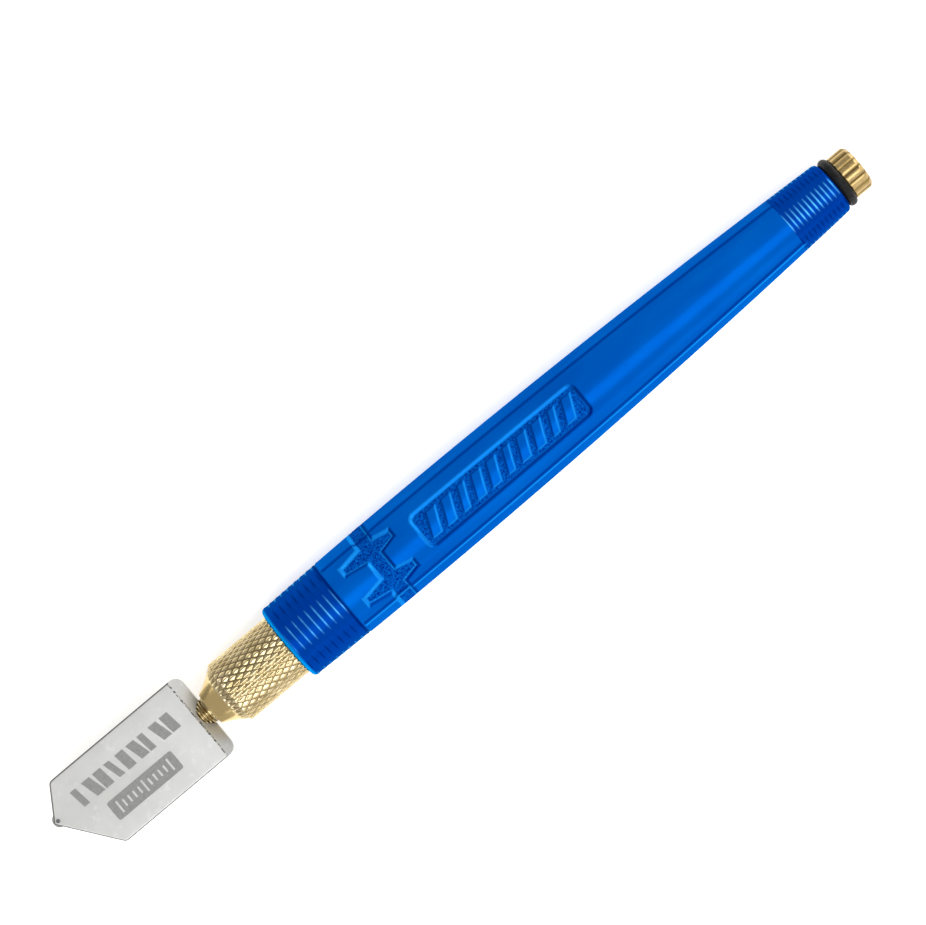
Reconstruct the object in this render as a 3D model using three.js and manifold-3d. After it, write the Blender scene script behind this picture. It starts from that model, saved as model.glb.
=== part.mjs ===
// Oil-fed glass cutter with a wide straight-line head. Millimetres, +Z up.
// The tool lies on its handle's belly with its axis along X, the cutting wheel at -X and the
// filler cap at +X. Each piece is built about its own reference point on the tool's axis.
import * as THREE from "three";
import { mergeVertices } from "three/addons/utils/BufferGeometryUtils.js";
import Module from "manifold-3d";

const wasm = await Module();
wasm.setup();

// ---- driving dimensions -------------------------------------------------------------------
const SLIP = 0.03; // gap between pieces that rest on each other
const RUNNING = 0.1; // radial gap round a piece that turns or slides
const ROUND = 28; // sides of an ordinary turned surface

// head
const HEAD_LENGTH = 31.6;
const HEAD_WIDTH = 16;
const TIP_OFFSET = 2; // the tip lies this far from the tool's axis, towards +Y
const TIP_ROUND = 0.5;
const SHORT_CHAMFER = 3.9; // lengths along X of the two slopes that meet at the tip
const LONG_CHAMFER = 7.5;
const CHAMFER_ROUND = 1;
const BACK_BEVEL = 2;
const BACK_ROUND = 1.7;

// cutting wheel and its pin
const WHEEL_RADIUS = 1.3;
const WHEEL_THICKNESS = 0.8;
const WHEEL_PROUD = 0.4; // how far the wheel stands out of the tip
const AXLE_RADIUS = 0.35;

// hollow stem between the head and the valve, with the wick in its bore
const STEM_RADIUS = 2.5;
const HEAD_COVER = 0.5; // metal between the stem and each broad face of the head
const HEAD_THICKNESS = 2 * (STEM_RADIUS + HEAD_COVER);
const STEM_BORE = 1;
const STEM_IN_HEAD = 8;
const STEM_IN_PLUNGER = 5;
const OIL_WAY = 0.6; // radius of the slanted drilling that ends at the wheel
const WICK_RADIUS = 0.85;
const WICK_AHEAD = 12; // how far the wick reaches past the stem into the head

// valve: the head's travel when it is pressed on the glass lifts the poppet off its seat
const PRESS_TRAVEL = 0.5;
const NECK_GAP = PRESS_TRAVEL + 0.2;
const SEAL_SECTION = 0.6; // section radius of the two inner O-rings
const CHAMBER_RADIUS = STEM_RADIUS + 2 * (SEAL_SECTION + SLIP); // holds the nose seal
const PLUNGER_RADIUS = CHAMBER_RADIUS - 0.25;
const PLUNGER_BODY = STEM_IN_PLUNGER + 1.6;
const SPINDLE_RADIUS = 1.2;
const SEAT_HOLE = SPINDLE_RADIUS + 0.5;
const SEAT_THICKNESS = 1.2;
const POPPET_RADIUS = CHAMBER_RADIUS - 0.65;
const POPPET_LENGTH = 2;
const POPPET_BOSS = SPINDLE_RADIUS + 0.5;
const SPRING_WIRE = 0.3;
const SPRING_TURNS = 5;
const RETAINER_LENGTH = 3;
const RETAINER_DEPTH = 1.7; // how far the retainer sits inside the barrel's tail
const RETAINER_HOLE = 1;

// barrel
const NOSE_RADIUS = STEM_RADIUS + RUNNING + 0.85;
const NOSE_LENGTH = 4.6;
const NOSE_WALL = NOSE_LENGTH + 0.7; // length of the nose's narrow bore
const BARREL_LENGTH = 16.95; // from the nose to the handle
const TAIL_LENGTH = 12;
const TAIL_MINOR = CHAMBER_RADIUS + 0.84; // the tail's thread, and the thread it screws into
const TAIL_MAJOR = TAIL_MINOR + 0.4;
const TAIL_CORE = TAIL_MINOR - 0.1;
const TAIL_PITCH = 1.35;
const BARREL_RADIUS = TAIL_MAJOR + 0.95;
const GASKET_SECTION = 0.5;

// handle
const HANDLE_LENGTH = 119.75;
const BELLY_RADIUS = 7.55;
const BELLY_AT = 27.4; // distance of the widest place from the handle's front
const FRONT_RADIUS = 7.2;
const END_RADIUS = 4.9;
const RIM_ROUND = 0.8;
const HANDLE_SIDES = 30;
const FLAT_FIRST_SIDE = 4; // sides between the handle's top and the near edge of a flat
const FLAT_SIDES = 2; // sides that a flat is wide
const BAND_FROM = 19.6; // stippled band
const BAND_WIDTH = 2.6;
const BAND_DEPTH = 0.25;
const PLATE_FROM = 29; // recess for a name plate on the handle's top
const PLATE_LENGTH = 35.5;
const PLATE_DEPTH = 0.35;
const PLATE_SIDES = 2; // sides that the recess reaches to each side of the top
const STEP = 0.35; // length of the slope at the ends of a flat, band or recess
const RESERVOIR_RADIUS = 2.4;
const RESERVOIR_CONE = 2.5;

// filler cap
const CAP_PITCH = 0.9;
const CAP_TURNS = 8; // turns from tight to out of the thread
const CAP_MAJOR = 2.15;
const CAP_MINOR = CAP_MAJOR - 0.43;
const CAP_CLEARANCE = 0.14;
const CAP_THREAD_IN_HANDLE = 10.5;
const CAP_COLLAR = CAP_MAJOR + 0.8;
const CAP_RADIUS = CAP_COLLAR + 1.23;
const CAP_HEAD = 3.65;
const CAP_FLUTES = 16;
const CAP_FLUTE_DEPTH = 0.22;
const CAP_SLOT_WIDTH = 1.2;
const CAP_SLOT_DEPTH = 1;
const CAP_SEAL_SECTION = 0.9;

// ---- places along the tool ------------------------------------------------------------------
const FRONT_BORE = TAIL_LENGTH + 0.4;
const FLATS_FROM = FRONT_BORE; // the four shallow flats run between the two threads
const FLATS_TO = HANDLE_LENGTH - CAP_THREAD_IN_HANDLE;
const CAP_SHANK = (CAP_TURNS - 1) * CAP_PITCH;
const CAP_FLANGE = 2 * CAP_SEAL_SECTION + 2 * SLIP; // distance from the handle to the cap's head
const OVERALL =
  WHEEL_PROUD + HEAD_LENGTH + NECK_GAP + BARREL_LENGTH + HANDLE_LENGTH + CAP_FLANGE + CAP_HEAD;
const HEAD_X = -OVERALL / 2 + WHEEL_PROUD;
const BARREL_X = HEAD_X + HEAD_LENGTH + NECK_GAP;
const HANDLE_X = BARREL_X + BARREL_LENGTH;
const CAP_X = HANDLE_X + HANDLE_LENGTH;
const SIDE_ANGLE = (2 * Math.PI) / HANDLE_SIDES;
const AXIS_HEIGHT = BELLY_RADIUS * Math.cos(SIDE_ANGLE / 2); // the lowest side is level

// ---- materials ------------------------------------------------------------------------------
const finish = (color, metalness, roughness) => () =>
  new THREE.MeshStandardMaterial({ color, metalness, roughness });
const satinChrome = finish(0xc9c9c6, 0.9, 0.35);
const brass = finish(0xc8a45c, 1, 0.25);
const carbide = finish(0x5a5d60, 0.9, 0.3);
const steel = finish(0x9a9a9a, 1, 0.3);
const bluePlastic = finish(0x0a62c8, 0, 0.12);
const blackRubber = finish(0x151617, 0, 0.6);
const felt = finish(0xe6dfcf, 0, 0.95);

// ---- solids ---------------------------------------------------------------------------------
function solid(geometry) {
  const bare = geometry.index ? geometry.toNonIndexed() : geometry.clone();
  for (const name of Object.keys(bare.attributes)) {
    if (name !== "position") {
      bare.deleteAttribute(name);
    }
  }
  const merged = mergeVertices(bare, 1e-4);
  const triVerts = new Uint32Array(merged.index.array);
  const vertProperties = new Float32Array(merged.attributes.position.array);
  const made = new wasm.Manifold(new wasm.Mesh({ numProp: 3, vertProperties, triVerts }));
  if (made.volume() > 0) {
    return made;
  }
  triVerts.reverse();
  return new wasm.Manifold(new wasm.Mesh({ numProp: 3, vertProperties, triVerts }));
}

function mesh(name, body, material, x) {
  const { numProp, vertProperties, triVerts } = body.getMesh();
  const stored = new THREE.InterleavedBuffer(vertProperties, numProp);
  const geometry = new THREE.BufferGeometry();
  geometry.setAttribute("position", new THREE.InterleavedBufferAttribute(stored, 3, 0));
  geometry.setIndex(new THREE.BufferAttribute(triVerts, 1));
  const flat = geometry.toNonIndexed();
  flat.computeVertexNormals();
  const made = new THREE.Mesh(flat, material());
  made.name = name;
  made.position.x = x;
  return made;
}

// A profile of [x, radius] points turned about the X axis.
function turnedGeometry(profile, sides = ROUND, phiStart = 0) {
  const points = profile.map(([x, radius]) => new THREE.Vector2(radius, x));
  const geometry = new THREE.LatheGeometry(points, sides, phiStart, 2 * Math.PI);
  geometry.rotateZ(-Math.PI / 2);
  return geometry;
}

const turned = (profile, sides, phiStart) => solid(turnedGeometry(profile, sides, phiStart));

const rod = (from, to, radius, sides) =>
  turned([[from, 0], [from, radius], [to, radius], [to, 0]], sides);

function ring(x, middleRadius, section) {
  const geometry = new THREE.TorusGeometry(middleRadius, section, 8, 24);
  geometry.rotateY(Math.PI / 2);
  geometry.translate(x, 0, 0);
  return solid(geometry);
}

function box(from, to) {
  const size = to.map((high, i) => high - from[i]);
  const geometry = new THREE.BoxGeometry(...size);
  geometry.translate(...from.map((low, i) => low + size[i] / 2));
  return solid(geometry);
}

// A right-hand V thread about X, trimmed square at both ends. origin is a place where its
// root crosses the +Y side, so two threads with one origin and pitch are in mesh.
function threadedRod({ major, minor, pitch, origin, from, to, sides = 24 }) {
  const first = Math.floor((from - origin) / pitch) - 2;
  const last = Math.ceil((to - origin) / pitch) + 2;
  const rows = 2 * (last - first);
  const points = [];
  const starts = [];
  for (let i = 0; i < sides; i++) {
    starts.push(points.length);
    const angle = (2 * Math.PI * i) / sides;
    for (let j = 0; j <= rows + (i === 0 ? 2 : 0); j++) {
      const radius = j % 2 ? major : minor;
      const x = origin + pitch * (first + j / 2 + i / sides);
      points.push(new THREE.Vector3(x, radius * Math.cos(angle), radius * Math.sin(angle)));
    }
  }
  const at = (j, i) => (i === sides ? starts[0] + j + 2 : starts[i] + j);
  const faces = [];
  for (let i = 0; i < sides; i++) {
    for (let j = 0; j < rows; j++) {
      faces.push([at(j, i), at(j, i + 1), at(j + 1, i)]);
      faces.push([at(j + 1, i), at(j, i + 1), at(j + 1, i + 1)]);
    }
  }
  const lowHub = points.push(new THREE.Vector3(points[0].x, 0, 0)) - 1;
  const highHub = points.push(new THREE.Vector3(points[at(rows, sides)].x, 0, 0)) - 1;
  const closeEnd = (row, hub, turn) => {
    const rim = [];
    for (let i = 0; i <= sides; i++) {
      rim.push(at(row, i));
    }
    rim.push(at(row + 1, 0));
    rim.forEach((a, k) => {
      const b = rim[(k + 1) % rim.length];
      faces.push(turn ? [a, b, hub] : [b, a, hub]);
    });
  };
  closeEnd(0, lowHub, false);
  closeEnd(rows, highHub, true);
  const geometry = new THREE.BufferGeometry().setFromPoints(points);
  geometry.setIndex(faces.flat());
  return solid(geometry).intersect(rod(from, to, major + 1));
}

// A polygon whose corners are rounded by arcs; each corner is [x, y, radius].
function roundedOutline(corners) {
  const shape = new THREE.Shape();
  corners.forEach(([x, y, radius], i) => {
    const here = new THREE.Vector2(x, y);
    const before = new THREE.Vector2(...corners.at(i - 1)).sub(here).normalize();
    const after = new THREE.Vector2(...corners[(i + 1) % corners.length]).sub(here).normalize();
    const half = Math.acos(before.dot(after)) / 2;
    const reach = radius / Math.tan(half);
    const start = here.clone().addScaledVector(before, reach);
    const end = here.clone().addScaledVector(after, reach);
    const middle = before.add(after).normalize().multiplyScalar(radius / Math.sin(half)).add(here);
    if (i === 0) {
      shape.moveTo(start.x, start.y);
    } else {
      shape.lineTo(start.x, start.y);
    }
    const from = Math.atan2(start.y - middle.y, start.x - middle.x);
    const to = Math.atan2(end.y - middle.y, end.x - middle.x);
    shape.absarc(middle.x, middle.y, radius, from, to, false);
  });
  return shape;
}

// ---- head -------------------------------------------------------------------------------------
const WHEEL_X = WHEEL_RADIUS - WHEEL_PROUD; // wheel's centre behind the head's tip

function headBody() {
  const side = HEAD_WIDTH / 2;
  const outline = roundedOutline([
    [0, TIP_OFFSET, TIP_ROUND],
    [LONG_CHAMFER, -side, CHAMFER_ROUND],
    [HEAD_LENGTH, -side, BACK_ROUND],
    [HEAD_LENGTH, side, BACK_ROUND],
    [SHORT_CHAMFER, side, CHAMFER_ROUND],
  ]);
  const plate = new THREE.ExtrudeGeometry(outline, {
    depth: HEAD_THICKNESS,
    bevelEnabled: false,
    curveSegments: 4,
  });
  plate.translate(0, 0, -HEAD_THICKNESS / 2);
  let body = solid(plate);

  // both faces slope down to the back edge
  const slope = new THREE.Shape();
  slope.moveTo(HEAD_LENGTH - BACK_BEVEL, HEAD_THICKNESS / 2);
  slope.lineTo(HEAD_LENGTH + 1, HEAD_THICKNESS / 2 - BACK_BEVEL - 1);
  slope.lineTo(HEAD_LENGTH + 1, HEAD_THICKNESS);
  slope.lineTo(HEAD_LENGTH - BACK_BEVEL, HEAD_THICKNESS);
  const cutLength = HEAD_WIDTH + 2;
  const above = new THREE.ExtrudeGeometry(slope, { depth: cutLength, bevelEnabled: false });
  above.translate(0, 0, -cutLength / 2);
  above.rotateX(Math.PI / 2);
  const below = above.clone().rotateX(Math.PI);
  body = body.subtract(solid(above)).subtract(solid(below));

  // slot and pin hole for the wheel
  const slotHalf = WHEEL_THICKNESS / 2 + RUNNING;
  const slot = new THREE.CylinderGeometry(
    WHEEL_RADIUS + 2 * RUNNING, WHEEL_RADIUS + 2 * RUNNING, 2 * slotHalf, ROUND);
  const pinHole = new THREE.CylinderGeometry(
    AXLE_RADIUS + SLIP, AXLE_RADIUS + SLIP, HEAD_THICKNESS + 1, 16);
  for (const cut of [slot, pinHole]) {
    cut.rotateX(Math.PI / 2);
    cut.translate(WHEEL_X, TIP_OFFSET, 0);
    body = body.subtract(solid(cut));
  }

  // stem socket, wick way, and the slanted oil way from the wick to the wheel's slot
  const socketFloor = HEAD_LENGTH - STEM_IN_HEAD;
  const wickEnd = socketFloor - WICK_AHEAD;
  const socket = rod(socketFloor, HEAD_LENGTH + 1, STEM_RADIUS + SLIP);
  const wickWay = rod(wickEnd - SLIP, socketFloor + 1, STEM_BORE, 16);
  const start = new THREE.Vector3(wickEnd + 1, 0, 0);
  const end = new THREE.Vector3(WHEEL_X, TIP_OFFSET, 0);
  const oilWay = new THREE.ExtrudeGeometry(
    new THREE.Shape().absarc(0, 0, OIL_WAY, 0, 2 * Math.PI),
    { steps: 1, curveSegments: 8, extrudePath: new THREE.LineCurve3(start, end) });
  return body.subtract(socket).subtract(wickWay).subtract(solid(oilWay));
}

function cuttingWheel() {
  const rim = 0.08;
  const half = WHEEL_THICKNESS / 2;
  const bore = AXLE_RADIUS + RUNNING / 2;
  const geometry = turnedGeometry([
    [-half, bore], [-half, WHEEL_RADIUS - half], [-rim / 2, WHEEL_RADIUS], [rim / 2, WHEEL_RADIUS],
    [half, WHEEL_RADIUS - half], [half, bore], [-half, bore],
  ]);
  geometry.rotateY(Math.PI / 2);
  geometry.translate(WHEEL_X, TIP_OFFSET, 0);
  return solid(geometry);
}

function wheelAxle() {
  const geometry = new THREE.CylinderGeometry(AXLE_RADIUS, AXLE_RADIUS, HEAD_THICKNESS - SLIP, 16);
  geometry.rotateX(Math.PI / 2);
  geometry.translate(WHEEL_X, TIP_OFFSET, 0);
  return solid(geometry);
}

// ---- valve train; each place is a distance from the barrel's nose --------------------------------
const PLUNGER_AT = NOSE_WALL + 2 * SEAL_SECTION + 3 * SLIP;
const SEAT_AT = PLUNGER_AT + PLUNGER_BODY + PRESS_TRAVEL + SLIP;
const RETAINER_AT = BARREL_LENGTH + TAIL_LENGTH - RETAINER_LENGTH - RETAINER_DEPTH;
const STEM_FROM = -NECK_GAP - STEM_IN_HEAD + SLIP;
const STEM_TO = PLUNGER_AT + STEM_IN_PLUNGER - SLIP;
const POPPET_AT = SEAT_AT + SEAT_THICKNESS + 2 * SEAL_SECTION + 3 * SLIP;

const headStem = () =>
  rod(STEM_FROM, STEM_TO, STEM_RADIUS).subtract(rod(STEM_FROM - 1, STEM_TO + 1, STEM_BORE, 16));

const oilWick = () => rod(STEM_FROM - WICK_AHEAD, STEM_TO - 1, WICK_RADIUS, 12);

function valvePlunger() {
  const back = PLUNGER_AT + PLUNGER_BODY;
  const spindleEnd = POPPET_AT + POPPET_LENGTH - SLIP;
  const body = turned([
    [PLUNGER_AT, 0], [PLUNGER_AT, PLUNGER_RADIUS], [back, PLUNGER_RADIUS],
    [back, SPINDLE_RADIUS], [spindleEnd, SPINDLE_RADIUS], [spindleEnd, 0],
  ]);
  const socket = rod(PLUNGER_AT - 1, PLUNGER_AT + STEM_IN_PLUNGER, STEM_RADIUS + SLIP);
  const crossHole = rod(-BARREL_RADIUS, BARREL_RADIUS, STEM_BORE / 2, 12)
    .rotate([0, 0, 90])
    .translate([PLUNGER_AT + STEM_IN_PLUNGER, 0, 0]);
  return body.subtract(socket).subtract(crossHole);
}

function valvePoppet() {
  const face = POPPET_AT + POPPET_LENGTH / 2;
  return turned([
    [POPPET_AT, 0], [POPPET_AT, POPPET_RADIUS], [face, POPPET_RADIUS],
    [face, POPPET_BOSS], [POPPET_AT + POPPET_LENGTH, POPPET_BOSS], [POPPET_AT + POPPET_LENGTH, 0],
  ]).subtract(rod(POPPET_AT - 1, POPPET_AT + POPPET_LENGTH + 1, SPINDLE_RADIUS + SLIP));
}

class Helix extends THREE.Curve {
  constructor(from, length, radius, turns) {
    super();
    Object.assign(this, { from, length, radius, turns });
  }

  getPoint(t, target = new THREE.Vector3()) {
    const angle = 2 * Math.PI * this.turns * t;
    const y = this.radius * Math.cos(angle);
    return target.set(this.from + this.length * t, y, this.radius * Math.sin(angle));
  }
}

function valveSpring() {
  const from = POPPET_AT + POPPET_LENGTH / 2 + SLIP + SPRING_WIRE;
  const length = RETAINER_AT - SLIP - SPRING_WIRE - from;
  const radius = POPPET_BOSS + SPRING_WIRE + RUNNING;
  const path = new Helix(from, length, radius, SPRING_TURNS);
  const wire = new THREE.Shape().absarc(0, 0, SPRING_WIRE, 0, 2 * Math.PI);
  return solid(new THREE.ExtrudeGeometry(wire, {
    steps: SPRING_TURNS * 14,
    curveSegments: 3,
    extrudePath: path,
  }));
}

function springRetainer() {
  const end = RETAINER_AT + RETAINER_LENGTH;
  const driverSlot = box([end - 0.8, -CHAMBER_RADIUS, -0.5], [end + 1, CHAMBER_RADIUS, 0.5]);
  return rod(RETAINER_AT, end, CHAMBER_RADIUS - SLIP)
    .subtract(rod(RETAINER_AT - 1, end + 1, RETAINER_HOLE, 16))
    .subtract(driverSlot);
}

// ---- barrel ---------------------------------------------------------------------------------------
const GASKET_RADIUS = TAIL_CORE + SLIP + GASKET_SECTION;
const GASKET_RELIEF = 2 * GASKET_SECTION + 2 * SLIP;

function noseProfile() {
  const edge = 0.2;
  const path = new THREE.Path();
  path.moveTo(0, NOSE_RADIUS - edge);
  path.lineTo(edge, NOSE_RADIUS);
  path.quadraticCurveTo(
    NOSE_LENGTH * 0.62, NOSE_RADIUS + 0.7,
    NOSE_LENGTH * 0.84, BARREL_RADIUS - 0.6);
  path.quadraticCurveTo(NOSE_LENGTH * 0.92, BARREL_RADIUS, NOSE_LENGTH, BARREL_RADIUS);
  return path.getPoints(4).map((p) => [p.x, p.y]);
}

function knurledBarrel() {
  const end = BARREL_LENGTH + TAIL_LENGTH;
  const body = turned([
    [0, 0], ...noseProfile(), [BARREL_LENGTH, BARREL_RADIUS],
    [BARREL_LENGTH, TAIL_CORE], [end - 1, TAIL_CORE], [end - 1, 0],
  ]);
  const thread = threadedRod({
    major: TAIL_MAJOR,
    minor: TAIL_MINOR,
    pitch: TAIL_PITCH,
    origin: BARREL_LENGTH,
    from: BARREL_LENGTH + GASKET_RELIEF,
    to: end,
  });
  const seatBack = SEAT_AT + SEAT_THICKNESS;
  return body.add(thread)
    .subtract(rod(-1, end + 1, SEAT_HOLE))
    .subtract(rod(-1, NOSE_WALL + 1, STEM_RADIUS + RUNNING))
    .subtract(rod(NOSE_WALL, SEAT_AT, CHAMBER_RADIUS))
    .subtract(rod(seatBack, end + 1, CHAMBER_RADIUS));
}

// ---- handle -----------------------------------------------------------------------------------------
const RECESS_FIRST = PLATE_SIDES * SIDE_ANGLE; // the recess ends inside this angle from the top

// Radius of the handle's outline: two parabolas that meet at the belly.
function outlineRadius(x) {
  const behind = x > BELLY_AT;
  const share = (x - BELLY_AT) / (behind ? HANDLE_LENGTH - BELLY_AT : BELLY_AT);
  const end = behind ? END_RADIUS : FRONT_RADIUS;
  return BELLY_RADIUS - (BELLY_RADIUS - end) * share * share;
}

// Radius at a point of the surface, angle being measured from the top.
function handleRadius(x, angle) {
  const within = (from, to) => x > from && x < to;
  let radius = outlineRadius(x);
  const first = (FLAT_FIRST_SIDE + 0.5) * SIDE_ANGLE;
  const half = (FLAT_SIDES * SIDE_ANGLE) / 2;
  const fromSide = Math.abs(Math.PI / 2 - Math.abs(angle));
  const fromMiddle = Math.abs(Math.PI / 2 - first - half - fromSide);
  if (within(FLATS_FROM, FLATS_TO) && fromMiddle < half) {
    radius *= Math.cos(half) / Math.cos(fromMiddle);
  }
  if (within(BAND_FROM, BAND_FROM + BAND_WIDTH)) {
    radius -= BAND_DEPTH;
  }
  if (within(PLATE_FROM, PLATE_FROM + PLATE_LENGTH) && Math.abs(angle) < RECESS_FIRST) {
    radius -= PLATE_DEPTH;
  }
  return radius;
}

function handle() {
  const stations = new Set([2, 5, FLATS_FROM, FLATS_FROM + STEP, BELLY_AT]);
  for (const [from, length] of [[BAND_FROM, BAND_WIDTH], [PLATE_FROM, PLATE_LENGTH]]) {
    [from, from + STEP, from + length - STEP, from + length].forEach((x) => stations.add(x));
  }
  const free = 6; // places between the name plate and the end of the flats
  const plateEnd = PLATE_FROM + PLATE_LENGTH;
  for (let i = 1; i < free; i++) {
    stations.add(plateEnd + ((FLATS_TO - STEP - plateEnd) * i) / free);
  }
  [0.33, 0.67].forEach((share) => stations.add(PLATE_FROM + PLATE_LENGTH * share));
  [FLATS_TO - STEP, FLATS_TO].forEach((x) => stations.add(x));
  const places = [...stations].filter((x) => x < HANDLE_LENGTH - RIM_ROUND);
  places.sort((a, b) => a - b);

  const rim = (x, inward, share) => {
    const turn = (share * Math.PI) / 2;
    const along = RIM_ROUND * (1 - Math.sin(turn));
    return [x + inward * along, outlineRadius(x) - RIM_ROUND * (1 - Math.cos(turn))];
  };
  const profile = [
    [0, 0], rim(0, 1, 1), rim(0, 1, 0.5), rim(0, 1, 0),
    ...places.map((x) => [x, outlineRadius(x)]),
    rim(HANDLE_LENGTH, -1, 0), rim(HANDLE_LENGTH, -1, 0.5), rim(HANDLE_LENGTH, -1, 1),
    [HANDLE_LENGTH, 0],
  ];
  const skin = turnedGeometry(profile, HANDLE_SIDES, SIDE_ANGLE / 2);
  const point = new THREE.Vector3();
  const position = skin.getAttribute("position");
  for (let i = 0; i < position.count; i++) {
    point.fromBufferAttribute(position, i);
    const radius = Math.hypot(point.y, point.z);
    if (point.x > RIM_ROUND && point.x < HANDLE_LENGTH - RIM_ROUND && radius > 0) {
      const wanted = handleRadius(point.x, Math.atan2(point.y, point.z)) / radius;
      position.setXYZ(i, point.x, point.y * wanted, point.z * wanted);
    }
  }

  const gasketSeat = GASKET_RADIUS + GASKET_SECTION + SLIP;
  const frontThread = threadedRod({
    major: TAIL_MAJOR + RUNNING,
    minor: TAIL_MINOR + RUNNING,
    pitch: TAIL_PITCH,
    origin: 0,
    from: GASKET_RELIEF / 2,
    to: FRONT_BORE,
  });
  const capThread = threadedRod({
    major: CAP_MAJOR + CAP_CLEARANCE,
    minor: CAP_MINOR + CAP_CLEARANCE,
    pitch: CAP_PITCH,
    origin: HANDLE_LENGTH,
    from: HANDLE_LENGTH - CAP_THREAD_IN_HANDLE,
    to: HANDLE_LENGTH + 1,
  });
  const threadAt = HANDLE_LENGTH - CAP_THREAD_IN_HANDLE;
  const reservoir = turned([
    [FRONT_BORE - 1, 0], [FRONT_BORE - 1, RESERVOIR_RADIUS],
    [threadAt - RESERVOIR_CONE, RESERVOIR_RADIUS], [threadAt, CAP_MINOR + CAP_CLEARANCE],
    [threadAt + 0.5, CAP_MINOR], [threadAt + 0.5, 0],
  ]);
  return solid(skin)
    .subtract(rod(-1, GASKET_RELIEF, gasketSeat))
    .subtract(frontThread)
    .subtract(capThread)
    .subtract(reservoir);
}

// ---- filler cap ------------------------------------------------------------------------------------
function fillerCap() {
  const shape = new THREE.Shape();
  for (let i = 0; i < 2 * CAP_FLUTES; i++) {
    const angle = (Math.PI * i) / CAP_FLUTES;
    const radius = CAP_RADIUS - (i % 2 ? CAP_FLUTE_DEPTH : 0);
    const [x, y] = [radius * Math.cos(angle), radius * Math.sin(angle)];
    if (i === 0) {
      shape.moveTo(x, y);
    } else {
      shape.lineTo(x, y);
    }
  }
  const fluted = new THREE.ExtrudeGeometry(shape, { depth: CAP_HEAD, bevelEnabled: false });
  fluted.rotateY(Math.PI / 2);
  fluted.translate(CAP_FLANGE, 0, 0);
  const end = CAP_FLANGE + CAP_HEAD;
  const edge = 0.6;
  const chamfered = turned([
    [0, 0], [0, CAP_RADIUS + 1], [end - edge, CAP_RADIUS], [end, CAP_RADIUS - edge], [end, 0],
  ]);
  const slot = box(
    [end - CAP_SLOT_DEPTH, -CAP_RADIUS - 1, -CAP_SLOT_WIDTH / 2],
    [end + 1, CAP_RADIUS + 1, CAP_SLOT_WIDTH / 2]);
  const thread = threadedRod({
    major: CAP_MAJOR,
    minor: CAP_MINOR,
    pitch: CAP_PITCH,
    origin: 0,
    from: -CAP_SHANK,
    to: 0.5,
  });
  return solid(fluted)
    .intersect(chamfered)
    .subtract(slot)
    .add(rod(SLIP, CAP_FLANGE + 0.5, CAP_COLLAR))
    .add(thread);
}

// ---- assembly ----------------------------------------------------------------------------------------
const tool = new THREE.Group();
tool.position.z = AXIS_HEIGHT;
tool.add(
  mesh("head_body", headBody(), satinChrome, HEAD_X),
  mesh("cutting_wheel", cuttingWheel(), carbide, HEAD_X),
  mesh("wheel_axle", wheelAxle(), steel, HEAD_X),
  mesh("head_stem", headStem(), brass, BARREL_X),
  mesh("oil_wick", oilWick(), felt, BARREL_X),
  mesh("valve_plunger", valvePlunger(), brass, BARREL_X),
  mesh("valve_poppet", valvePoppet(), brass, BARREL_X),
  mesh("valve_spring", valveSpring(), steel, BARREL_X),
  mesh("spring_retainer", springRetainer(), brass, BARREL_X),
  mesh("knurled_barrel", knurledBarrel(), brass, BARREL_X),
  mesh("handle", handle(), bluePlastic, HANDLE_X),
  mesh("filler_cap", fillerCap(), brass, CAP_X),
);

const STEM_SEAL_RADIUS = STEM_RADIUS + SLIP + SEAL_SECTION;
const VALVE_SEAL_RADIUS = SEAT_HOLE + SLIP + SEAL_SECTION;
const CAP_SEAL_RADIUS = CAP_COLLAR + SLIP + CAP_SEAL_SECTION;
for (const [name, x, middleRadius, section, start] of [
  ["nose_seal", BARREL_X, STEM_SEAL_RADIUS, SEAL_SECTION, NOSE_WALL + SLIP],
  ["valve_seal", BARREL_X, VALVE_SEAL_RADIUS, SEAL_SECTION, SEAT_AT + SEAT_THICKNESS + SLIP],
  ["barrel_gasket", HANDLE_X, GASKET_RADIUS, GASKET_SECTION, SLIP],
  ["cap_seal", CAP_X, CAP_SEAL_RADIUS, CAP_SEAL_SECTION, SLIP],
]) {
  tool.add(mesh(name, ring(start + section, middleRadius, section), blackRubber, x));
}

const part = new THREE.Group();
part.add(tool);
export default part;
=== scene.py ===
import math

import bpy
import numpy as np
from mathutils import Matrix, Vector


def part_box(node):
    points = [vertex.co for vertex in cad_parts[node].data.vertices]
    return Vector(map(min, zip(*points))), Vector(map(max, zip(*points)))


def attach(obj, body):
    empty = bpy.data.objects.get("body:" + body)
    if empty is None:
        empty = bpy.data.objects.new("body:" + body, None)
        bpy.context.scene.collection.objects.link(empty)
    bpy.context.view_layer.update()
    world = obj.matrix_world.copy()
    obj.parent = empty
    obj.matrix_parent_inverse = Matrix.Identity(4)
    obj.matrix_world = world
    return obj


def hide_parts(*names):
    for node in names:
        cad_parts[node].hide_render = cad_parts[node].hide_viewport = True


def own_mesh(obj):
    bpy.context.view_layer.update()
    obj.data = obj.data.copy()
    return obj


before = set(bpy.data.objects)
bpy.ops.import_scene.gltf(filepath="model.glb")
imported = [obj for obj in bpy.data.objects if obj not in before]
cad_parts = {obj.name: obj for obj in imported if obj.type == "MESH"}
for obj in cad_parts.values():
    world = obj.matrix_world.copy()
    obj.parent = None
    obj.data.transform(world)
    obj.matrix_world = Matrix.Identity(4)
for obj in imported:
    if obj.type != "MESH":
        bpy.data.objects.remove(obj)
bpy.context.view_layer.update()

# Oil-fed glass cutter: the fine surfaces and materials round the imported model.
# Shapes are worked out in millimetres about the tool's own axis, X pointing to the filler cap.
# An angle round the axis is measured from the top of the tool, positive towards -Y.
MM = 0.001


def span(node):
    low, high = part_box(node)
    return low / MM, high / MM


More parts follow.
